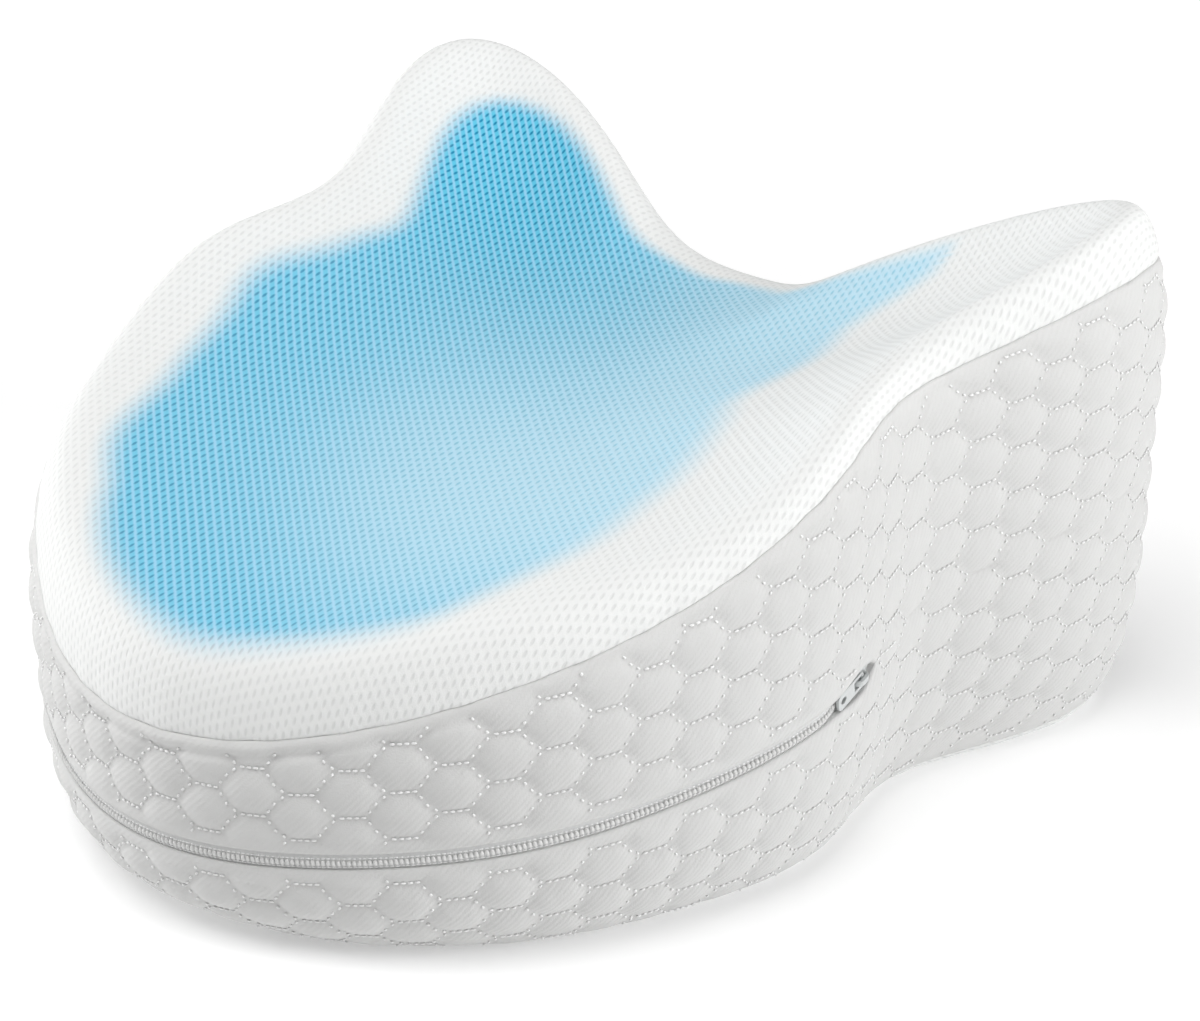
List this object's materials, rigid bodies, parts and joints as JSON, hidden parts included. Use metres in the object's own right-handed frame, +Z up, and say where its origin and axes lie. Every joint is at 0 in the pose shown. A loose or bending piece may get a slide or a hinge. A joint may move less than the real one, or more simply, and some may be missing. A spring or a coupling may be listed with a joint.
{
  "type": "knee pillow",
  "caption": "Contoured knee pillow with a dished top between two high wings, a low rounded end, a quilted side band and a closed zip around the low end.",
  "frame": {"origin": "middle of the pillow's length and width, on the surface that it rests on", "axes": "+Y from the low rounded end towards the two wings, +X to the side where the zip's slider lies, +Z up"},
  "size_m": [0.2534, 0.2604, 0.1404],
  "materials": {
    "band_cloth": "white quilted knit with puffed rounded cells",
    "top_cloth": "white perforated knit, printed blue in the middle",
    "under_cloth": "white perforated knit",
    "zip_tape": "white woven tape",
    "zip_chain": "white nylon coil",
    "zip_metal": "pale grey lacquer"
  },
  "bodies": {
    "root": {"cushion": "band_cloth", "top_panel": "top_cloth", "under_panel": "under_cloth", "zip_tape": "zip_tape", "zip_chain": "zip_chain", "zip_slider": "zip_metal", "zip_pull": "zip_metal"}
  },
  "joints": []
}
